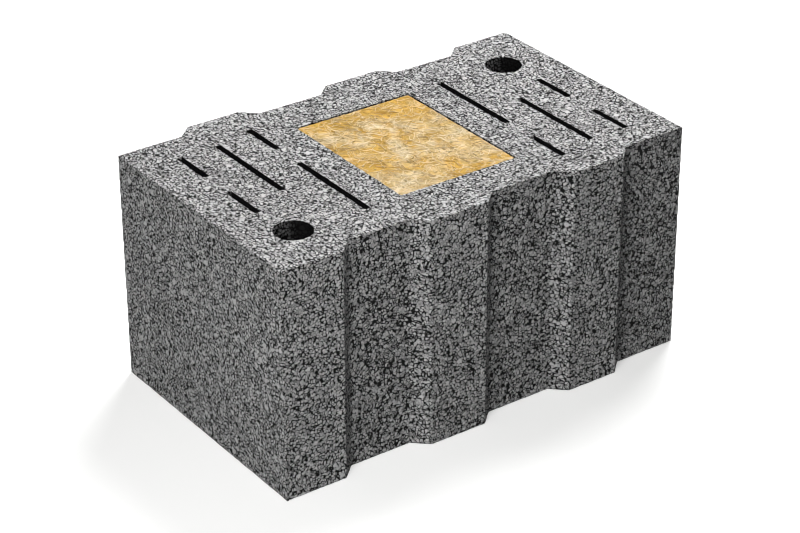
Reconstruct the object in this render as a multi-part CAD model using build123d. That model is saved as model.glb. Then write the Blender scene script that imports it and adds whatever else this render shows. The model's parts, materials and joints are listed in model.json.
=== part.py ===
from build123d import *

import os

# Thermal masonry block: one casting of lightweight concrete with vertical air slots, two grip holes
# and a middle chamber that holds a mineral wool core.
#
# Frame: +X runs through the wall from one plain wall face to the other, +Y along the wall from one
# tongue-and-groove head face to the other, +Z up. The origin is the middle of the lower bed face.
# The outline repeats after a half turn about +Z, and so do the cores about their own middle, so the
# webs of one course meet those of the next whichever way round a block is laid.
# All sizes are in millimetres.

# Overall size
WALL_THICKNESS = 490.0
BLOCK_LENGTH = 306.0
BLOCK_HEIGHT = 248.0

# Tongues and grooves of the head faces
TONGUE_DEPTH = 15.0
FLANK_RUN = 16.0
FLANK_CLEARANCE = 4.5
INNER_FLANK_LINE = 86.0
OUTER_FLANK_STEP = 80.5
ARRIS_RADIUS = 2.0

# Chamber and the wool core pressed into it
CHAMBER_WIDTH = 138.0
CHAMBER_LENGTH = 181.0
CORE_CLEARANCE = 0.2
CORE_RECESS = 1.4

# Air slots: rows across each half, from the wall face towards the chamber
SLOT_ROWS = 3
SLOT_WIDTH = 6.4
FACE_SHELL = 43.0
SLOT_BRIDGE = 39.0
SLOT_COVER = 36.0
INNER_SLOT_COVER = 24.0
INNER_SLOT_FOOT = 44.0

# Grip holes
GRIP_DIAMETER = 39.0
GRIP_FACE_COVER = 34.0
GRIP_HEAD_COVER = 29.0
GRIP_WEB = 30.0

# The chamber, slots and grip holes sit this far from the middle of the block along Y
CORE_SHIFT = -3.0

HALF_THICKNESS = WALL_THICKNESS / 2
CREST = BLOCK_LENGTH / 2
GROOVE_FLOOR = CREST - TONGUE_DEPTH
GRIP_RADIUS = GRIP_DIAMETER / 2


def front_head_line():
    """Corners of the front head face from -X to +X: tongue, groove, tongue, groove, tongue, groove."""
    outer_line = INNER_FLANK_LINE + OUTER_FLANK_STEP
    joint_lines = [-outer_line, -INNER_FLANK_LINE, 0, INNER_FLANK_LINE, outer_line]
    corners = [(-HALF_THICKNESS, -CREST)]
    level, next_level = -CREST, -GROOVE_FLOOR
    for line in joint_lines:
        ends_tongue = level == -CREST
        middle = line + (-FLANK_CLEARANCE / 2 if ends_tongue else FLANK_CLEARANCE / 2)
        corners.append((middle - FLANK_RUN / 2, level))
        corners.append((middle + FLANK_RUN / 2, next_level))
        level, next_level = next_level, level
    corners.append((HALF_THICKNESS, level))
    return corners


def block_outline():
    """Plan of the block: the front head line and its half turn, with the flank corners rounded."""
    front = front_head_line()
    back = [(-x, -y) for x, y in front]
    plan = make_face(Polyline(front + back, close=True))
    flank_corners = [v for v in plan.vertices() if abs(v.X) < HALF_THICKNESS - FLANK_RUN / 2]
    return fillet(flank_corners, ARRIS_RADIUS)


def slot_plan():
    """Slots of the -X half as (x, low y, high y), measured from the middle of the cores."""
    shell_inside = HALF_THICKNESS - FACE_SHELL
    web = (shell_inside - CHAMBER_WIDTH / 2 - SLOT_ROWS * SLOT_WIDTH) / SLOT_ROWS
    outer, middle, inner = (
        -(shell_inside - SLOT_WIDTH / 2 - row * (SLOT_WIDTH + web)) for row in range(SLOT_ROWS)
    )
    top = GROOVE_FLOOR - SLOT_COVER
    inner_top = GROOVE_FLOOR - INNER_SLOT_COVER
    inner_foot = -GROOVE_FLOOR + INNER_SLOT_FOOT
    outer_foot = grip_centre()[1] + GRIP_RADIUS + GRIP_WEB
    short = (top - outer_foot - SLOT_BRIDGE) / 2
    long = inner_top - inner_foot - SLOT_BRIDGE - short
    return [
        (outer, top - short, top),
        (outer, outer_foot, outer_foot + short),
        (middle, top - long, top),
        (inner, inner_top - short, inner_top),
        (inner, inner_foot, inner_foot + long),
    ]


def grip_centre():
    """Middle of the -X half's grip hole, measured from the middle of the cores."""
    x = -(HALF_THICKNESS - GRIP_FACE_COVER - GRIP_RADIUS)
    y = -(GROOVE_FLOOR - GRIP_HEAD_COVER - GRIP_RADIUS)
    return x, y


def core_plan():
    """Everything that is left open in the concrete, seen in plan."""
    openings = Rectangle(CHAMBER_WIDTH, CHAMBER_LENGTH)
    half = [Pos(*grip_centre()) * Circle(GRIP_RADIUS)]
    for x, low, high in slot_plan():
        half.append(Pos(x, (low + high) / 2) * Rectangle(SLOT_WIDTH, high - low))
    for opening in half:
        openings += opening
        openings += Rot(0, 0, 180) * opening
    return Pos(0, CORE_SHIFT) * openings


def concrete_block():
    """The casting: the outline less its cores, the same section over the whole height."""
    return extrude(block_outline() - core_plan(), BLOCK_HEIGHT)


def mineral_wool_core():
    """Wool batt in the chamber, clear of its walls and a little below both bed faces."""
    width = CHAMBER_WIDTH - 2 * CORE_CLEARANCE
    length = CHAMBER_LENGTH - 2 * CORE_CLEARANCE
    height = BLOCK_HEIGHT - 2 * CORE_RECESS
    return Pos(0, CORE_SHIFT, CORE_RECESS) * extrude(Rectangle(width, length), height)


def main():
    os.makedirs("parts", exist_ok=True)
    for name, solid in (("concrete_block", concrete_block()), ("mineral_wool_core", mineral_wool_core())):
        export_step(solid, f"parts/{name}.step")
        print(name, "volume", round(solid.volume), "faces", len(solid.faces()))


main()
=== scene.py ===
import json
import math

import bmesh
import bpy
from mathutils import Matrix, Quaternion, Vector


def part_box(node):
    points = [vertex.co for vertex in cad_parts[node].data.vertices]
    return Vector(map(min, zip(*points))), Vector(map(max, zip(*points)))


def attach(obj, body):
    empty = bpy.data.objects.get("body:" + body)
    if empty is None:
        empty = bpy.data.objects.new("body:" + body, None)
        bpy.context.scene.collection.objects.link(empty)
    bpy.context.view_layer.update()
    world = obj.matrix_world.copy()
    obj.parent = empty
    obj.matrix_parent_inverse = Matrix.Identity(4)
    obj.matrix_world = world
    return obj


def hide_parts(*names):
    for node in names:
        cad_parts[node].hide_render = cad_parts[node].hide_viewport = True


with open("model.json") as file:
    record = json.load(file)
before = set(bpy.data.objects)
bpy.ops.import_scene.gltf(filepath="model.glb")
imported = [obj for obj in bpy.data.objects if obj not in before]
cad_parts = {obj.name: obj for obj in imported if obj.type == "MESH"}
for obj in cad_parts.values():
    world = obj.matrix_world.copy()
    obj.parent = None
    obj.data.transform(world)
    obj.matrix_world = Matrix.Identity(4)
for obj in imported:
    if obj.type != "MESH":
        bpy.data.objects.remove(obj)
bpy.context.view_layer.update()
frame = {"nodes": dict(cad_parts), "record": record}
BLOCK_LOW, BLOCK_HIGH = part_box("concrete_block")
WOOL_LOW, WOOL_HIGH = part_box("mineral_wool_core")

bl_info = {
    "name": "Insulated concrete block",
    "version": (1, 0, 0),
    "blender": (4, 5, 0),
    "location": "3D View > Sidebar > Block",
    "description": "Dresses a lightweight concrete wall block and its mineral wool core",
    "category": "Object",
}

MM = 0.001
X, Y, Z = range(3)

# What counts as one point, one flat face, an arris, a sharp edge and a face that looks along an axis
WELD = 0.01 * MM
FLAT_ANGLE = math.radians(1)
ARRIS_ANGLE = math.radians(25)
SMOOTH_ANGLE = math.radians(55)
FACING = 0.9

# Depth that holds the tongues and grooves, the widest narrow strip of wall, and the grip holes
HEAD_RELIEF = 16 * MM
STRIP_WIDTH = 8 * MM
GRIP_HOLE = next(mount for mount in frame["record"]["mounts"] if mount["name"] == "right_grip_hole")
GRIP_PLACE = GRIP_HOLE["pos_m"][X]
GRIP_RADIUS = GRIP_HOLE["dims"]["r_mm"] * MM

# Grain of the concrete
PATCH_SPACING = 16 * MM
PATCH_SWELL = 3.5 * MM
CEMENT_SPACING = 3.5 * MM
SAND_SPACING = 1.1 * MM
GRAIN_HEIGHT = 0.36 * MM
FILM_HEIGHT = 0.4 * MM
# Share by which the crests of the head faces are painted paler than the floors of their grooves, as painted
# shade in the grooves
GROOVE_SHADE = 0.15

# Lie of the wool
CLUMP_SPACING = 11 * MM
BUNDLE_SPACING = 28 * MM
BUNDLE_SWEEP = 60 * MM
STREAK_WIDTH = 6 * MM
STREAK_LENGTH = 26 * MM
FIBRE_HEIGHT = 0.8 * MM
RESIN_SPACING = 58 * MM
SHADE_SPACING = 26 * MM
GAP_SPACING = 4.5 * MM

# Loose strands
CURL_SPACING = 10 * MM
CURL_REACH = (16 * MM, 16 * MM, 2 * MM)
STRAND_MARGIN = 0.5 * MM
STRAND_POINTS = 6
STRAND_SIDES = 3

# Stage
FLOOR_SIZE = 30
GLOW_NEAR, GLOW_FAR = 1.0, 3.0
SENSOR_WIDTH = 36
PIXEL_FILTER = 0.9


def linear(code):
    """Linear colour of an sRGB hex value."""
    channels = [int(code[i:i + 2], 16) / 255 for i in (0, 2, 4)]
    return tuple(c / 12.92 if c <= 0.04045 else ((c + 0.055) / 1.055) ** 2.4 for c in channels)


def rgba(colour):
    """A solid colour, as a node's colour input takes it."""
    return (*colour, 1.0)


class ConcreteLook(bpy.types.PropertyGroup):
    face_step: bpy.props.FloatProperty(
        name="Face step", description="Spacing of the cuts that carry the relief of the cast faces",
        default=2.85 * MM, min=1.5 * MM, unit="LENGTH")
    pellet_size: bpy.props.FloatProperty(
        name="Pellet size", description="Mean spacing of the expanded clay pellets",
        default=3.4 * MM, min=2 * MM, unit="LENGTH")
    large_spacing: bpy.props.FloatProperty(
        name="Large spacing", description="Mean spacing of the places where a large pellet may lie",
        default=7 * MM, min=2 * MM, unit="LENGTH")
    pore_depth: bpy.props.FloatProperty(
        name="Pore depth", description="Depth of the pores between pellets at the cast face",
        default=1.1 * MM, min=0, unit="LENGTH")
    pellet_dark: bpy.props.FloatVectorProperty(
        name="Dark pellet", description="Darkest cement coat on a pellet",
        default=linear("686868"), subtype="COLOR")
    pellet_light: bpy.props.FloatVectorProperty(
        name="Light pellet", description="Lightest cement coat on a pellet",
        default=linear("c8c8c8"), subtype="COLOR")
    pore_colour: bpy.props.FloatVectorProperty(
        name="Pore", description="Shaded cement inside the pores",
        default=linear("0e0e0e"), subtype="COLOR")
    # Painted shade: near-black colour on the walls of slots and grip holes, standing in for the shade deep
    # inside them
    wall_colour: bpy.props.FloatVectorProperty(
        name="Core shade", description="Painted shade, near black, on the walls of slots and grip holes",
        default=linear("1a1a1a"), subtype="COLOR")
    chamber_colour: bpy.props.FloatVectorProperty(
        name="Chamber wall", description="Paler grey on the walls of the chamber that holds the wool",
        default=linear("8c8c8c"), subtype="COLOR")
    # Painted light: the paler colour on the -X side of a grip hole's wall, where light falls into the hole
    grip_lit_colour: bpy.props.FloatVectorProperty(
        name="Grip wall lit side", description="Painted light on the -X side of a grip hole's wall",
        default=linear("9c9c9c"), subtype="COLOR")


class WoolLook(bpy.types.PropertyGroup):
    face_step: bpy.props.FloatProperty(
        name="Face step", description="Spacing of the cuts that carry the matted relief",
        default=2.5 * MM, min=1 * MM, unit="LENGTH")
    mat_depth: bpy.props.FloatProperty(
        name="Mat depth", description="Depth of the hollows between fibre bundles",
        default=0.8 * MM, min=0, unit="LENGTH")
    strand_length: bpy.props.FloatProperty(
        name="Strand length", description="Length of the longest loose strand",
        default=13 * MM, min=2 * MM, unit="LENGTH")
    strand_radius: bpy.props.FloatProperty(
        name="Strand radius", description="Radius of the thickest loose strand",
        default=0.42 * MM, min=0.05 * MM, unit="LENGTH")
    strand_density: bpy.props.FloatProperty(
        name="Strand density", description="Loose strands to each square metre of the two open faces",
        default=110000, min=0)
    gold: bpy.props.FloatVectorProperty(
        name="Gold", description="Fibre soaked with resin", default=linear("d0a753"), subtype="COLOR")
    cream: bpy.props.FloatVectorProperty(
        name="Cream", description="Fibre with little resin", default=linear("ece0c4"), subtype="COLOR")
    hollow: bpy.props.FloatVectorProperty(
        name="Hollow", description="Shade in the hollows between bundles", default=linear("8a7440"),
        subtype="COLOR")


class StudioLook(bpy.types.PropertyGroup):
    eye: bpy.props.FloatVectorProperty(
        name="Camera place", description="Where the camera stands",
        default=(-1.339141, -1.875602, 1.378970), subtype="TRANSLATION", unit="LENGTH")
    target: bpy.props.FloatVectorProperty(
        name="Camera target", description="Point in the middle of the picture",
        default=(-0.007164, -0.004088, 0.110446), subtype="TRANSLATION", unit="LENGTH")
    roll: bpy.props.FloatProperty(
        name="Camera roll", description="Turn of the camera about its own line of sight",
        default=math.radians(-0.1786), subtype="ANGLE")
    lens: bpy.props.FloatProperty(
        name="Lens", description="Focal length on a 36 mm wide sensor", default=116.534, min=1)
    front_power: bpy.props.FloatProperty(
        name="Front light", description="Power of the soft light over the near corner",
        default=22.8, min=0, unit="POWER")
    top_power: bpy.props.FloatProperty(
        name="Top light", description="Power of the soft light high behind the right-hand end",
        default=41, min=0, unit="POWER")
    back_power: bpy.props.FloatProperty(
        name="Back light", description="Power of the wide low light behind the left-hand end",
        default=10, min=0, unit="POWER")
    fill_strength: bpy.props.FloatProperty(
        name="Fill strength", description="Brightness of the even light from all round",
        default=0.065, min=0)
    floor: bpy.props.FloatVectorProperty(
        name="Floor", description="Pale floor", default=linear("f4f4f3"), subtype="COLOR")
    floor_glow: bpy.props.FloatProperty(
        name="Floor glow", description="Light that comes up through the floor and thins the block's shadow",
        default=0.4, min=0)


def fill_inputs(tree, node, inputs):
    """Fill each input of a node with a value or with a link from an output."""
    for socket, value in inputs.items():
        if isinstance(value, bpy.types.NodeSocket):
            tree.links.new(value, node.inputs[socket])
        else:
            node.inputs[socket].default_value = value


def add_node(tree, kind, inputs=None, **settings):
    """Add a node, set its options and fill its inputs, which are called by name or by number.

    Operands go by number, and so does an input that shares its name with another: 6 and 7 are the two
    colours that a Mix node mixes into output 2, and 2 and 3 the ends of a random number at output 1."""
    node = tree.nodes.new(kind)
    for option, value in settings.items():
        setattr(node, option, value)
    fill_inputs(tree, node, inputs or {})
    return node


def select_only(piece):
    """Make a piece the active object and the only one selected."""
    bpy.ops.object.select_all(action="DESELECT")
    piece.select_set(True)
    bpy.context.view_layer.objects.active = piece


def select_faces(piece, wanted):
    """Open a piece in edit mode with only its wanted faces selected."""
    select_only(piece)
    bpy.ops.object.mode_set(mode="EDIT")
    bpy.ops.mesh.select_all(action="DESELECT")
    for face in bmesh.from_edit_mesh(piece.data).faces:
        if wanted(face):
            face.select_set(True)
    bmesh.update_edit_mesh(piece.data)


def copy_node(node_name, piece_name):
    """A new object with a merged copy of a frame node's mesh, its flat faces made whole."""
    mesh = frame["nodes"][node_name].data.copy()
    mesh.name = piece_name
    mesh.materials.clear()
    piece = bpy.data.objects.new(piece_name, mesh)
    bpy.context.scene.collection.objects.link(piece)
    select_only(piece)
    bpy.ops.object.mode_set(mode="EDIT")
    bpy.ops.mesh.select_mode(type="FACE")
    bpy.ops.mesh.select_all(action="SELECT")
    bpy.ops.mesh.customdata_custom_splitnormals_clear()
    bpy.ops.mesh.remove_doubles(threshold=WELD)
    bpy.ops.mesh.dissolve_limited(angle_limit=FLAT_ANGLE)
    bpy.ops.object.mode_set(mode="OBJECT")
    return piece


def paint_faces(piece, material, wanted):
    """Add a material to a piece and give it to the wanted faces."""
    piece.data.materials.append(material)
    piece.active_material_index = len(piece.data.materials) - 1
    select_faces(piece, wanted)
    bpy.ops.object.material_slot_assign()
    bpy.ops.object.mode_set(mode="OBJECT")


def slice_faces(piece, axis, step, wanted):
    """Cut the wanted faces of a piece by even planes across one axis."""
    select_faces(piece, lambda face: not wanted(face))
    bpy.ops.mesh.hide(unselected=False)
    places = [vertex.co[axis] for vertex in bmesh.from_edit_mesh(piece.data).verts]
    low, high = min(places), max(places)
    count = round((high - low) / step)
    across = Vector((0, 0, 0))
    across[axis] = 1
    for i in range(1, count):
        cut = low + (high - low) * i / count
        bpy.ops.mesh.select_all(action="SELECT")
        bpy.ops.mesh.bisect(plane_co=across * cut, plane_no=across, threshold=WELD)
    bpy.ops.mesh.reveal(select=False)
    bpy.ops.object.mode_set(mode="OBJECT")


def apply_relief(piece, tree):
    """Run a piece's relief as a modifier and apply it."""
    relief = piece.modifiers.new(tree.name, "NODES")
    relief.node_group = tree
    select_only(piece)
    bpy.ops.object.modifier_apply(modifier=relief.name)


def relief_tree(name):
    """An empty modifier tree with one geometry going in and one coming out."""
    tree = bpy.data.node_groups.new(name, "GeometryNodeTree")
    for way in ("INPUT", "OUTPUT"):
        tree.interface.new_socket("Geometry", in_out=way, socket_type="NodeSocketGeometry")
    return tree, add_node(tree, "NodeGroupInput").outputs[0]


def material_tree(name):
    """A new material, its tree and its main shader."""
    material = bpy.data.materials.new(name)
    material.use_nodes = True
    return material, material.node_tree, material.node_tree.nodes["Principled BSDF"]


def pellet_pattern(tree, place, look):
    """Pellets and the pores left between them, shared by the relief and the material.

    Gives the pellet under a place, the height of its round top from 0 to 1, and the pore from 0 to 1."""
    # Slow swelling of the pattern makes patches of larger and smaller pellets
    swell = add_node(
        tree, "ShaderNodeTexNoise",
        {"Vector": place, "Scale": 1 / PATCH_SPACING, "Detail": 0.0}).outputs["Color"]
    graded = add_node(
        tree, "ShaderNodeVectorMath", {0: swell, 1: (PATCH_SWELL,) * 3, 2: place},
        operation="MULTIPLY_ADD").outputs[0]
    pellets = {"Vector": graded, "Scale": 1 / look.pellet_size}
    nearest = add_node(tree, "ShaderNodeTexVoronoi", pellets, feature="F1")
    seam = add_node(tree, "ShaderNodeTexVoronoi", pellets, feature="DISTANCE_TO_EDGE").outputs["Distance"]
    top = add_node(
        tree, "ShaderNodeMapRange",
        {"Value": nearest.outputs["Distance"], "From Min": 0.15, "From Max": 0.75,
         "To Min": 1.0, "To Max": 0.0},
        interpolation_type="SMOOTHSTEP").outputs[0]

    # Cement closes some seams and leaves others open
    cement = add_node(
        tree, "ShaderNodeTexNoise",
        {"Vector": place, "Scale": 1 / CEMENT_SPACING, "Detail": 1.0}).outputs["Fac"]
    width = add_node(
        tree, "ShaderNodeMapRange",
        {"Value": cement, "From Min": 0.32, "From Max": 0.62, "To Min": -0.02, "To Max": 0.15}).outputs[0]
    inside = add_node(tree, "ShaderNodeMath", {0: seam, 1: width}, operation="SUBTRACT").outputs[0]
    pore = add_node(
        tree, "ShaderNodeMapRange",
        {"Value": inside, "From Min": -0.015, "From Max": 0.03, "To Min": 1.0, "To Max": 0.0},
        interpolation_type="SMOOTHSTEP").outputs[0]

    # Large pellets of many sizes lie among the small ones and close the seams that they cover
    large = add_node(
        tree, "ShaderNodeTexVoronoi", {"Vector": place, "Scale": 1 / look.large_spacing}, feature="F1")
    lot = add_node(tree, "ShaderNodeSeparateXYZ", {0: large.outputs["Color"]}).outputs["X"]
    radius = add_node(
        tree, "ShaderNodeMapRange",
        {"Value": lot, "From Min": 0.35, "From Max": 1.0, "To Min": -0.05, "To Max": 0.52}).outputs[0]
    rim = add_node(
        tree, "ShaderNodeMath", {0: large.outputs["Distance"], 1: radius}, operation="SUBTRACT").outputs[0]
    covered = add_node(
        tree, "ShaderNodeMapRange",
        {"Value": rim, "From Min": -0.12, "From Max": 0.0, "To Min": 1.0, "To Max": 0.0},
        interpolation_type="SMOOTHSTEP").outputs[0]
    pellet = add_node(
        tree, "ShaderNodeMix", {0: covered, 6: nearest.outputs["Color"], 7: large.outputs["Color"]},
        data_type="RGBA").outputs[2]
    round_top = add_node(tree, "ShaderNodeMath", {0: top, 1: covered}, operation="MAXIMUM").outputs[0]
    open_pore = add_node(
        tree, "ShaderNodeMath", {0: pore, 1: covered}, operation="SUBTRACT", use_clamp=True).outputs[0]
    return pellet, round_top, open_pore


def pellet_relief(look):
    """Relief of the cast faces: the square grid is loosened, then sunk between pellets and at pores."""
    tree, block = relief_tree("pellet_relief")
    place = add_node(tree, "GeometryNodeInputPosition").outputs[0]
    outward = add_node(tree, "GeometryNodeInputNormal").outputs[0]

    # Points on the block's arrises stay where they are in the face, and sink less
    arris_depth = 0.4 * look.pore_depth
    angle = add_node(tree, "GeometryNodeInputMeshEdgeAngle").outputs["Unsigned Angle"]
    sharp = add_node(
        tree, "FunctionNodeCompare", {0: angle, 1: ARRIS_ANGLE}, operation="GREATER_THAN").outputs[0]
    on_arris = add_node(
        tree, "GeometryNodeFieldOnDomain", {0: sharp}, data_type="BOOLEAN", domain="EDGE").outputs[0]
    beside = add_node(tree, "GeometryNodeBlurAttribute", {0: on_arris, "Iterations": 1}).outputs[0]
    free = add_node(tree, "FunctionNodeCompare", {0: beside, 1: 0.01}, operation="LESS_THAN").outputs[0]
    depth = add_node(
        tree, "ShaderNodeMapRange",
        {"Value": free, "To Min": arris_depth, "To Max": look.pore_depth}).outputs[0]

    # A random move in the face breaks up the square grid
    loose = 0.3 * look.face_step
    move = add_node(
        tree, "FunctionNodeRandomValue", {0: (-loose,) * 3, 1: (loose,) * 3, "Seed": 4},
        data_type="FLOAT_VECTOR").outputs[0]
    rise = add_node(tree, "ShaderNodeVectorMath", {0: move, 1: outward}, operation="PROJECT").outputs[0]
    slide = add_node(tree, "ShaderNodeVectorMath", {0: move, 1: rise}, operation="SUBTRACT").outputs[0]
    loosened = add_node(
        tree, "GeometryNodeSetPosition", {"Geometry": block, "Selection": free, "Offset": slide}).outputs[0]

    # The material finds its pattern again by each point's place before it is sunk
    kept = add_node(
        tree, "GeometryNodeStoreNamedAttribute", {"Geometry": loosened, "Name": "cast_face", "Value": place},
        data_type="FLOAT_VECTOR", domain="POINT").outputs[0]

    # A pore is sunk by the whole depth, and the edge of a pellet by the shoulder's share of it
    shoulder = 0.5
    _, top, pore = pellet_pattern(tree, place, look)
    fall = add_node(
        tree, "ShaderNodeMath", {0: top, 1: -shoulder, 2: shoulder}, operation="MULTIPLY_ADD").outputs[0]
    deepest = add_node(tree, "ShaderNodeMath", {0: fall, 1: pore}, operation="MAXIMUM").outputs[0]
    sunk = add_node(tree, "ShaderNodeMath", {0: deepest, 1: depth}, operation="MULTIPLY").outputs[0]
    inward = add_node(
        tree, "ShaderNodeVectorMath", {0: outward, "Scale": -1.0}, operation="SCALE").outputs[0]
    sink = add_node(tree, "ShaderNodeVectorMath", {0: inward, "Scale": sunk}, operation="SCALE").outputs[0]
    pored = add_node(tree, "GeometryNodeSetPosition", {"Geometry": kept, "Offset": sink}).outputs[0]

    # No point leaves the block's box
    over = add_node(
        tree, "ShaderNodeVectorMath", {0: place, 1: tuple(BLOCK_LOW)}, operation="MAXIMUM").outputs[0]
    within = add_node(
        tree, "ShaderNodeVectorMath", {0: over, 1: tuple(BLOCK_HIGH)}, operation="MINIMUM").outputs[0]
    flush = add_node(tree, "GeometryNodeSetPosition", {"Geometry": pored, "Position": within}).outputs[0]
    add_node(tree, "NodeGroupOutput", {0: flush})
    return tree


def cast_lightweight_concrete(look):
    """Open-pored lightweight concrete, cast in a steel mould.

    It gives dull grey cement on round pellets, with dark pores between them."""
    material, tree, shader = material_tree("lightweight_concrete_cast_open_pored")
    place = add_node(tree, "ShaderNodeAttribute", attribute_name="cast_face").outputs["Vector"]
    pellet, top, pore = pellet_pattern(tree, place, look)

    # Each pellet has its own grey, mottled by the grains of sand in its coat, and painted light and shade
    # make it paler on its round top and darker round its edge
    mottle, dome_shading = 2.8, 0.4
    own_grey = add_node(tree, "ShaderNodeSeparateXYZ", {0: pellet}).outputs["Y"]
    sand = add_node(
        tree, "ShaderNodeTexNoise",
        {"Vector": place, "Scale": 1 / SAND_SPACING, "Detail": 2.0}).outputs["Fac"]
    mottled = add_node(
        tree, "ShaderNodeMath", {0: sand, 1: mottle, 2: own_grey}, operation="MULTIPLY_ADD").outputs[0]
    dome_shaded = add_node(
        tree, "ShaderNodeMath", {0: top, 1: dome_shading, 2: mottled}, operation="MULTIPLY_ADD").outputs[0]
    grey = add_node(
        tree, "ShaderNodeMapRange", {"Value": dome_shaded, "From Min": 1.4, "From Max": 2.65}).outputs[0]
    coat = add_node(
        tree, "ShaderNodeMix", {0: grey, 6: rgba(look.pellet_dark), 7: rgba(look.pellet_light)},
        data_type="RGBA").outputs[2]

    # Painted shade: the floors of the grooves of the head faces are darker than their crests, as if in the
    # shade of the tongues
    along = add_node(tree, "ShaderNodeSeparateXYZ", {0: place}).outputs["Y"]
    reach = add_node(tree, "ShaderNodeMath", {0: along}, operation="ABSOLUTE").outputs[0]
    crest_light = add_node(
        tree, "ShaderNodeMapRange",
        {"Value": reach, "From Min": BLOCK_HIGH.y - HEAD_RELIEF, "From Max": BLOCK_HIGH.y,
         "To Min": 1.0, "To Max": 1.0 + GROOVE_SHADE}).outputs[0]
    painted_paler = add_node(tree, "ShaderNodeVectorMath", {0: coat, "Scale": crest_light}, operation="SCALE").outputs[0]
    # The pores are painted near black, with the shade that falls into them
    colour = add_node(
        tree, "ShaderNodeMix", {0: pore, 6: painted_paler, 7: rgba(look.pore_colour)}, data_type="RGBA").outputs[2]

    # Round tops, pores and sand grains catch the light
    grain_rise, pore_fall = 0.35, -0.8
    grains = add_node(
        tree, "ShaderNodeMath", {0: sand, 1: grain_rise, 2: top}, operation="MULTIPLY_ADD").outputs[0]
    height = add_node(
        tree, "ShaderNodeMath", {0: pore, 1: pore_fall, 2: grains}, operation="MULTIPLY_ADD").outputs[0]
    bump = add_node(
        tree, "ShaderNodeBump", {"Height": height, "Strength": 1.0, "Distance": GRAIN_HEIGHT}).outputs[0]
    fill_inputs(
        tree, shader,
        {"Base Color": colour, "Normal": bump, "Roughness": 0.92, "Specular IOR Level": 0.25})
    return material


def drawn_core_wall(name, look, wall_colour, lit_side_colour):
    """Walls that the steel cores left as they were drawn out, coloured over the pellets.

    The first colour covers the wall, as painted shade on the walls of slots and grip holes, and the second
    is painted light on the -X side of a grip hole."""
    material, tree, shader = material_tree(name)
    place = add_node(tree, "ShaderNodeTexCoord").outputs["Object"]
    _, top, pore = pellet_pattern(tree, place, look)

    # Painted light runs from the -X side of a grip hole to most of the way across it
    lit_reach = 0.8 * GRIP_RADIUS
    through = add_node(tree, "ShaderNodeSeparateXYZ", {0: place}).outputs["X"]
    end = add_node(tree, "ShaderNodeMath", {0: through}, operation="SIGN").outputs[0]
    across_hole = add_node(
        tree, "ShaderNodeMath", {0: end, 1: -GRIP_PLACE, 2: through}, operation="MULTIPLY_ADD").outputs[0]
    lit_side = add_node(
        tree, "ShaderNodeMapRange",
        {"Value": across_hole, "From Min": -GRIP_RADIUS, "From Max": lit_reach,
         "To Min": 1.0, "To Max": 0.0},
        interpolation_type="SMOOTHSTEP").outputs[0]
    coat = add_node(
        tree, "ShaderNodeMix", {0: lit_side, 6: rgba(wall_colour), 7: rgba(lit_side_colour)},
        data_type="RGBA").outputs[2]

    # The pores and the edges of the pellets are painted darker, with the shade that falls into them
    core_shade = add_node(tree, "ShaderNodeMath", {0: pore, 1: -1.0, 2: top}, operation="MULTIPLY_ADD").outputs[0]
    grey = add_node(
        tree, "ShaderNodeMapRange", {"Value": core_shade, "From Min": -0.5, "From Max": 1.0}).outputs[0]
    colour = add_node(
        tree, "ShaderNodeMix", {0: grey, 6: rgba(look.pore_colour), 7: coat}, data_type="RGBA").outputs[2]
    bump = add_node(
        tree, "ShaderNodeBump", {"Height": core_shade, "Strength": 0.6, "Distance": FILM_HEIGHT}).outputs[0]
    fill_inputs(
        tree, shader,
        {"Base Color": colour, "Normal": bump, "Roughness": 0.95, "Specular IOR Level": 0.03})
    return material


def matted_relief(look):
    """Relief of the wool's open faces: soft hollows between swirling bundles of fibre."""
    tree, batt = relief_tree("matted_relief")
    place = add_node(tree, "GeometryNodeInputPosition").outputs[0]
    outward = add_node(tree, "GeometryNodeInputNormal").outputs[0]
    clumps = add_node(
        tree, "ShaderNodeTexNoise",
        {"Vector": place, "Scale": 1 / CLUMP_SPACING, "Detail": 2.0, "Distortion": 1.2}).outputs["Fac"]
    sunk = add_node(tree, "ShaderNodeMath", {0: clumps, 1: -look.mat_depth}, operation="MULTIPLY").outputs[0]
    sink = add_node(tree, "ShaderNodeVectorMath", {0: outward, "Scale": sunk}, operation="SCALE").outputs[0]
    matted = add_node(tree, "GeometryNodeSetPosition", {"Geometry": batt, "Offset": sink}).outputs[0]
    add_node(tree, "NodeGroupOutput", {0: matted})
    return tree


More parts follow.
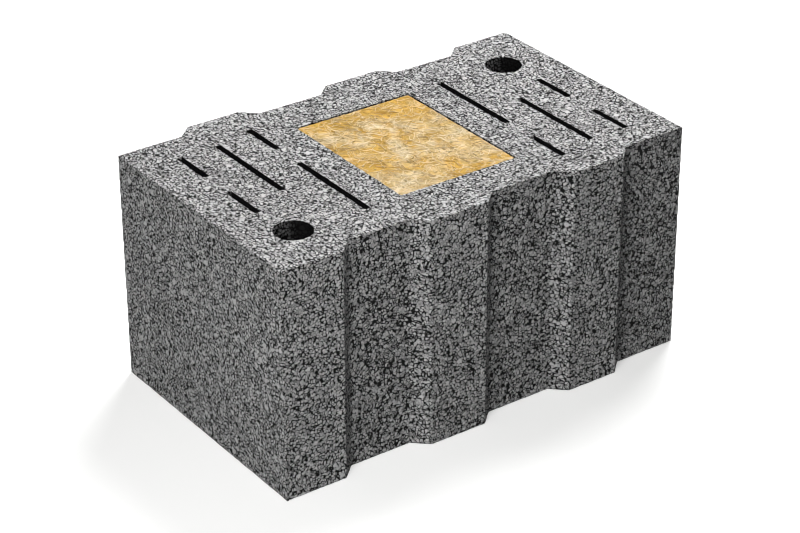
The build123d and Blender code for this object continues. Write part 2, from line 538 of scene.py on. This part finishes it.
def strand_growth(look, low, high):
    """Loose strands over the wool's open faces, curled together and held inside the chamber.

    A single fibre is too fine to show, so each strand is a bundle, as thick as it needs to be seen."""
    tree, faces = relief_tree("strand_growth")
    place = add_node(tree, "GeometryNodeInputPosition").outputs[0]
    roots = add_node(
        tree, "GeometryNodeDistributePointsOnFaces",
        {"Mesh": faces, "Density": look.strand_density, "Seed": 7},
        distribute_method="RANDOM").outputs["Points"]

    # Neighbouring strands lie nearly the same way, so that they read as bundles
    swing, stray, shortest = 14.0, 0.6, 0.35
    flow = add_node(
        tree, "ShaderNodeTexNoise",
        {"Vector": place, "Scale": 1 / BUNDLE_SPACING, "Detail": 1.0}).outputs["Fac"]
    spread = add_node(
        tree, "FunctionNodeRandomValue", {2: -stray, 3: stray, "Seed": 3}, data_type="FLOAT").outputs[1]
    heading = add_node(
        tree, "ShaderNodeMath", {0: flow, 1: swing, 2: spread}, operation="MULTIPLY_ADD").outputs[0]
    turn = add_node(tree, "ShaderNodeCombineXYZ", {"Z": heading}).outputs[0]
    stretch = add_node(
        tree, "FunctionNodeRandomValue", {2: shortest, 3: 1.0, "Seed": 5}, data_type="FLOAT").outputs[1]
    half = look.strand_length / 2
    straight = add_node(
        tree, "GeometryNodeCurvePrimitiveLine", {"Start": (-half, 0, 0), "End": (half, 0, 0)}).outputs[0]
    jointed = add_node(
        tree, "GeometryNodeResampleCurve", {"Curve": straight, "Count": STRAND_POINTS}).outputs[0]
    laid = add_node(
        tree, "GeometryNodeInstanceOnPoints",
        {"Points": roots, "Instance": jointed, "Rotation": turn, "Scale": stretch}).outputs[0]
    strands = add_node(tree, "GeometryNodeRealizeInstances", {0: laid}).outputs[0]

    # A shared curl bends each strand, and no point of it leaves the chamber
    curl = add_node(
        tree, "ShaderNodeTexNoise",
        {"Vector": place, "Scale": 1 / CURL_SPACING, "Detail": 1.0}).outputs["Color"]
    centred = add_node(
        tree, "ShaderNodeVectorMath", {0: curl, 1: (0.5, 0.5, 0.5)}, operation="SUBTRACT").outputs[0]
    bend = add_node(
        tree, "ShaderNodeVectorMath", {0: centred, 1: CURL_REACH}, operation="MULTIPLY").outputs[0]
    curled = add_node(tree, "GeometryNodeSetPosition", {"Geometry": strands, "Offset": bend}).outputs[0]
    above = add_node(
        tree, "ShaderNodeVectorMath", {0: place, 1: tuple(low)}, operation="MAXIMUM").outputs[0]
    inside = add_node(
        tree, "ShaderNodeVectorMath", {0: above, 1: tuple(high)}, operation="MINIMUM").outputs[0]
    held = add_node(tree, "GeometryNodeSetPosition", {"Geometry": curled, "Position": inside}).outputs[0]

    # Each strand has a tone of its own, and a thickness that goes with it
    thinnest = 0.4 * look.strand_radius
    index = add_node(tree, "GeometryNodeInputIndex").outputs[0]
    tone = add_node(
        tree, "FunctionNodeRandomValue", {2: 0.0, 3: 1.0, "ID": index, "Seed": 9},
        data_type="FLOAT").outputs[1]
    per_strand = add_node(
        tree, "GeometryNodeFieldOnDomain", {0: tone}, data_type="FLOAT", domain="CURVE").outputs[0]
    toned = add_node(
        tree, "GeometryNodeStoreNamedAttribute",
        {"Geometry": held, "Name": "strand_tone", "Value": per_strand},
        data_type="FLOAT", domain="POINT").outputs[0]
    thick = add_node(
        tree, "ShaderNodeMapRange",
        {"Value": per_strand, "To Min": thinnest, "To Max": look.strand_radius}).outputs[0]
    section = add_node(
        tree, "GeometryNodeCurvePrimitiveCircle", {"Resolution": STRAND_SIDES, "Radius": 1.0},
        mode="RADIUS").outputs[0]
    tubes = add_node(
        tree, "GeometryNodeCurveToMesh",
        {"Curve": toned, "Profile Curve": section, "Scale": thick, "Fill Caps": True}).outputs[0]
    add_node(tree, "NodeGroupOutput", {0: tubes})
    return tree


def wool_tint(tree, place, look):
    """Colour of the wool at a place: gold patches of resin, cream ones without it, and shaded hollows."""
    resin = add_node(
        tree, "ShaderNodeTexNoise",
        {"Vector": place, "Scale": 1 / RESIN_SPACING, "Detail": 5.0, "Roughness": 0.65,
         "Distortion": 0.9}).outputs["Fac"]
    soaked = add_node(
        tree, "ShaderNodeMapRange", {"Value": resin, "From Min": 0.29, "From Max": 0.57}).outputs[0]
    fibre = add_node(
        tree, "ShaderNodeMix", {0: soaked, 6: rgba(look.cream), 7: rgba(look.gold)},
        data_type="RGBA").outputs[2]

    # Bundles lie higher and lower, so broad soft patches of painted shade and a few small dark gaps of
    # painted shade run through the colour
    lie = add_node(
        tree, "ShaderNodeTexNoise",
        {"Vector": place, "Scale": 1 / SHADE_SPACING, "Detail": 3.0, "Distortion": 1.0}).outputs["Color"]
    level = add_node(tree, "ShaderNodeSeparateColor", {0: lie}).outputs[0]
    shade = add_node(
        tree, "ShaderNodeMapRange",
        {"Value": level, "From Min": 0.3, "From Max": 0.6, "To Min": 0.3, "To Max": 0.0}).outputs[0]
    gaps = add_node(
        tree, "ShaderNodeTexNoise",
        {"Vector": place, "Scale": 1 / GAP_SPACING, "Detail": 1.0}).outputs["Fac"]
    gap = add_node(
        tree, "ShaderNodeMapRange",
        {"Value": gaps, "From Min": 0.28, "From Max": 0.38, "To Min": 0.8, "To Max": 0.0},
        interpolation_type="SMOOTHSTEP").outputs[0]
    dark = add_node(tree, "ShaderNodeMath", {0: shade, 1: gap}, operation="MAXIMUM").outputs[0]
    return add_node(
        tree, "ShaderNodeMix", {0: dark, 6: fibre, 7: rgba(look.hollow)}, data_type="RGBA").outputs[2]


def resin_bound_wool(look):
    """Glass wool bound with resin and cut to a batt: matt, in gold and cream patches with fine swirls."""
    material, tree, shader = material_tree("mineral_wool_resin_bound")
    place = add_node(tree, "ShaderNodeTexCoord").outputs["Object"]
    swirl = add_node(
        tree, "ShaderNodeTexNoise",
        {"Vector": place, "Scale": 1 / BUNDLE_SPACING, "Detail": 1.0}).outputs["Color"]
    swept = add_node(
        tree, "ShaderNodeVectorMath", {0: swirl, 1: (BUNDLE_SWEEP,) * 3, 2: place},
        operation="MULTIPLY_ADD").outputs[0]
    streaks = add_node(
        tree, "ShaderNodeMapping",
        {"Vector": swept, "Scale": (1 / STREAK_WIDTH, 1 / STREAK_LENGTH, 1 / STREAK_LENGTH)}).outputs[0]
    fibre = add_node(
        tree, "ShaderNodeTexNoise", {"Vector": streaks, "Scale": 1.0, "Detail": 3.0}).outputs["Fac"]
    # Where the streaks of fibre sink, the colour is painted toward the hollows' shade
    sunk = add_node(
        tree, "ShaderNodeMapRange",
        {"Value": fibre, "From Min": 0.32, "From Max": 0.6, "To Min": 0.6, "To Max": 0.0}).outputs[0]
    colour = add_node(
        tree, "ShaderNodeMix", {0: sunk, 6: wool_tint(tree, place, look), 7: rgba(look.hollow)},
        data_type="RGBA").outputs[2]
    bump = add_node(
        tree, "ShaderNodeBump", {"Height": fibre, "Strength": 0.8, "Distance": FIBRE_HEIGHT}).outputs[0]
    fill_inputs(
        tree, shader,
        {"Base Color": colour, "Normal": bump, "Roughness": 0.95, "Specular IOR Level": 0.1})
    return material


def loose_glass_strands(look):
    """Loose bundles of glass fibre on the cut face.

    Each is a little paler or deeper than the wool it lies on, and slightly smoother."""
    material, tree, shader = material_tree("mineral_wool_loose_strands")
    place = add_node(tree, "ShaderNodeTexCoord").outputs["Object"]
    tone = add_node(tree, "ShaderNodeAttribute", attribute_name="strand_tone").outputs["Fac"]
    paler = add_node(
        tree, "ShaderNodeMapRange",
        {"Value": tone, "From Min": 0.4, "From Max": 1.0, "To Min": 0.0, "To Max": 0.5}).outputs[0]
    deeper = add_node(
        tree, "ShaderNodeMapRange",
        {"Value": tone, "From Min": 0.0, "From Max": 0.4, "To Min": 0.35, "To Max": 0.0}).outputs[0]
    pale = add_node(
        tree, "ShaderNodeMix", {0: paler, 6: wool_tint(tree, place, look), 7: rgba(look.cream)},
        data_type="RGBA").outputs[2]
    colour = add_node(
        tree, "ShaderNodeMix", {0: deeper, 6: pale, 7: rgba(look.hollow)}, data_type="RGBA").outputs[2]
    fill_inputs(tree, shader, {"Base Color": colour, "Roughness": 0.8, "Specular IOR Level": 0.2})
    return material


def looks_along(face, axis):
    """True for a face that looks along an axis, either way."""
    return abs(face.normal[axis]) > FACING


def is_level(face):
    """True for a face that looks straight up or down."""
    return looks_along(face, Z)


def is_upright(face):
    """True for a face that stands upright, whichever way it looks."""
    return not looks_along(face, Z)


def on_outside(face):
    """True for the bed, head and wall faces of the block, false inside its slots, holes and chamber."""
    middle = face.calc_center_median()
    on_wall = abs(middle.x) > BLOCK_HIGH.x - WELD * 10
    on_head = abs(middle.y) > BLOCK_HIGH.y - HEAD_RELIEF
    return is_level(face) or on_wall or on_head


def in_core(face):
    """True for every wall of the slots, holes and chamber."""
    return not on_outside(face)


def narrow_wall(face):
    """True for the narrow strips of a core's wall: all of a round hole's, and the ends of the slots."""
    width = face.calc_area() / (BLOCK_HIGH.z - BLOCK_LOW.z)
    return is_upright(face) and width < STRIP_WIDTH and in_core(face)


def beside_wool(face):
    """True for the four walls of the chamber, a thin gap away from the wool."""
    middle = face.calc_center_median()
    in_chamber = all(WOOL_LOW[i] - MM < middle[i] < WOOL_HIGH[i] + MM for i in (X, Y))
    return is_upright(face) and in_chamber


class BLOCK_OT_cast_concrete(bpy.types.Operator):
    """Model the casting: the frame's block with pellets and pores over its faces"""
    bl_idname = "block.cast_concrete"
    bl_label = "Concrete casting"

    def execute(self, context):
        look = context.scene.block_concrete
        casting = copy_node("concrete_block", "concrete_casting")
        casting.data.materials.append(cast_lightweight_concrete(look))
        # Slot and hole walls are painted with near-black shade. The narrow strips of a grip hole's wall and
        # the slot ends also get painted light towards each grip hole's -X side, and the chamber's walls a
        # plain paler grey
        core_shade, painted_paler, paler = look.wall_colour, look.grip_lit_colour, look.chamber_colour
        walls = (
            ("lightweight_concrete_slot_wall_painted_shade", core_shade, core_shade, in_core),
            ("lightweight_concrete_grip_wall_painted_light_and_shade", core_shade, painted_paler, narrow_wall),
            ("lightweight_concrete_drawn_chamber_wall", paler, paler, beside_wool),
        )
        for name, wall_colour, lit_side_colour, wanted in walls:
            paint_faces(casting, drawn_core_wall(name, look, wall_colour, lit_side_colour), wanted)

        # Outer faces are cut into small squares, and the strips of the holes into longer pieces
        slice_faces(casting, Z, 2 * look.face_step, narrow_wall)
        slice_faces(casting, X, look.face_step, lambda f: on_outside(f) and not looks_along(f, X))
        slice_faces(casting, Z, look.face_step, lambda f: on_outside(f) and is_upright(f))
        slice_faces(
            casting, Y, look.face_step, lambda f: on_outside(f) and (is_level(f) or looks_along(f, X)))
        apply_relief(casting, pellet_relief(look))
        bpy.ops.object.shade_smooth_by_angle(angle=SMOOTH_ANGLE)
        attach(casting, "root")
        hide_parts("concrete_block")
        return {"FINISHED"}


class BLOCK_OT_fit_wool(bpy.types.Operator):
    """Model the wool batt that fills the chamber, matted on its open faces"""
    bl_idname = "block.fit_wool"
    bl_label = "Wool batt"

    def execute(self, context):
        look = context.scene.block_wool
        batt = copy_node("mineral_wool_core", "wool_batt")
        for axis in (X, Y):
            slice_faces(batt, axis, look.face_step, is_level)
        apply_relief(batt, matted_relief(look))
        bpy.ops.object.shade_smooth_by_angle(angle=SMOOTH_ANGLE)
        batt.data.materials.append(resin_bound_wool(look))
        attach(batt, "root")
        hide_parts("mineral_wool_core")
        return {"FINISHED"}


class BLOCK_OT_lay_strands(bpy.types.Operator):
    """Lay loose strands of fibre over the open faces of the wool"""
    bl_idname = "block.lay_strands"
    bl_label = "Loose strands"

    def execute(self, context):
        look = context.scene.block_wool
        margin = Vector((STRAND_MARGIN, STRAND_MARGIN, 0))
        strands = copy_node("mineral_wool_core", "wool_strands")
        select_faces(strands, is_upright)
        bpy.ops.mesh.delete(type="ONLY_FACE")
        bpy.ops.object.mode_set(mode="OBJECT")
        apply_relief(strands, strand_growth(look, WOOL_LOW + margin, WOOL_HIGH - margin))
        bpy.ops.object.shade_smooth()
        strands.data.materials.append(loose_glass_strands(look))
        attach(strands, "root")
        return {"FINISHED"}


def opal_glass_light_table(look):
    """Opal glass lit from below: matt and white all over, so that the block's shadow on it stays thin."""
    material, tree, shader = material_tree("opal_glass_light_table")

    # Far from the block, where the lights do not reach, the glow alone keeps the floor as white
    place = add_node(tree, "ShaderNodeTexCoord").outputs["Object"]
    away = add_node(tree, "ShaderNodeVectorMath", {0: place}, operation="LENGTH").outputs["Value"]
    glow = add_node(
        tree, "ShaderNodeMapRange",
        {"Value": away, "From Min": GLOW_NEAR, "From Max": GLOW_FAR,
         "To Min": look.floor_glow, "To Max": 1.0}).outputs[0]
    fill_inputs(
        tree, shader,
        {"Base Color": rgba(look.floor), "Roughness": 0.9,
         "Emission Color": rgba(look.floor), "Emission Strength": glow})
    return material


def add_soft_light(name, azimuth, elevation, distance, diameter, power):
    """A round soft light that faces the block. Azimuth 0 stands in front, at -Y, and 90 at +X."""
    turn, tilt = math.radians(azimuth), math.radians(elevation)
    toward = Vector((math.sin(turn) * math.cos(tilt), -math.cos(turn) * math.cos(tilt), math.sin(tilt)))
    bpy.ops.object.light_add(type="AREA", location=(BLOCK_LOW + BLOCK_HIGH) / 2 + toward * distance)
    light = bpy.context.object
    light.name = name
    light.data.shape = "DISK"
    light.data.size = diameter
    light.data.energy = power
    light.rotation_euler = toward.to_track_quat("Z", "Y").to_euler()
    light.visible_camera = False


def even_fill(look):
    """Dim even light from all round, as white as the floor where the picture looks past the floor."""
    world = bpy.data.worlds.new("even_fill")
    world.use_nodes = True
    tree = world.node_tree
    seen = add_node(tree, "ShaderNodeLightPath").outputs["Is Camera Ray"]
    strength = add_node(
        tree, "ShaderNodeMapRange", {"Value": seen, "To Min": look.fill_strength, "To Max": 1.0}).outputs[0]
    fill_inputs(tree, tree.nodes["Background"], {"Color": rgba((1, 1, 1)), "Strength": strength})
    return world


def add_camera(look):
    """A camera at its place, aimed at its target and then rolled."""
    bpy.ops.object.camera_add(location=look.eye)
    camera = bpy.context.object
    camera.name = "camera"
    sight = (Vector(look.target) - Vector(look.eye)).to_track_quat("-Z", "Y")
    camera.rotation_euler = (sight @ Quaternion((0, 0, 1), look.roll)).to_euler()
    camera.data.sensor_width = SENSOR_WIDTH
    camera.data.lens = look.lens
    return camera


class BLOCK_OT_set_stage(bpy.types.Operator):
    """Set the pale floor, the soft light and the camera"""
    bl_idname = "block.set_stage"
    bl_label = "Floor, light and camera"

    def execute(self, context):
        look = context.scene.block_studio
        bpy.ops.object.select_all(action="DESELECT")
        bpy.ops.mesh.primitive_plane_add(size=FLOOR_SIZE)
        floor = context.object
        floor.name = "floor"
        floor.data.materials.append(opal_glass_light_table(look))
        floor.visible_diffuse = False

        add_soft_light(
            "front_light", azimuth=-47.5, elevation=34, distance=1.8, diameter=1.0, power=look.front_power)
        add_soft_light(
            "top_light", azimuth=127, elevation=55, distance=1.8, diameter=1.0, power=look.top_power)
        add_soft_light(
            "back_light", azimuth=-120, elevation=10, distance=3.2, diameter=2.0, power=look.back_power)
        context.scene.world = even_fill(look)
        context.scene.camera = add_camera(look)
        context.scene.view_settings.view_transform = "Standard"
        context.scene.cycles.filter_width = PIXEL_FILTER
        return {"FINISHED"}


class BLOCK_PT_pieces(bpy.types.Panel):
    """Steps that dress the block"""
    bl_label = "Insulated block"
    bl_idname = "BLOCK_PT_pieces"
    bl_space_type = "VIEW_3D"
    bl_region_type = "UI"
    bl_category = "Block"

    def draw(self, context):
        for operator in OPERATORS:
            self.layout.operator(operator.bl_idname)


OPERATORS = (BLOCK_OT_cast_concrete, BLOCK_OT_fit_wool, BLOCK_OT_lay_strands, BLOCK_OT_set_stage)
LOOKS = {"block_concrete": ConcreteLook, "block_wool": WoolLook, "block_studio": StudioLook}
CLASSES = (*LOOKS.values(), *OPERATORS, BLOCK_PT_pieces)


def register():
    for cls in CLASSES:
        bpy.utils.register_class(cls)
    for name, look in LOOKS.items():
        setattr(bpy.types.Scene, name, bpy.props.PointerProperty(type=look))


def unregister():
    for name in LOOKS:
        delattr(bpy.types.Scene, name)
    for cls in reversed(CLASSES):
        bpy.utils.unregister_class(cls)


def main():
    register()
    bpy.ops.block.cast_concrete()
    bpy.ops.block.fit_wool()
    bpy.ops.block.lay_strands()
    bpy.ops.block.set_stage()


if __name__ == "__main__":
    main()
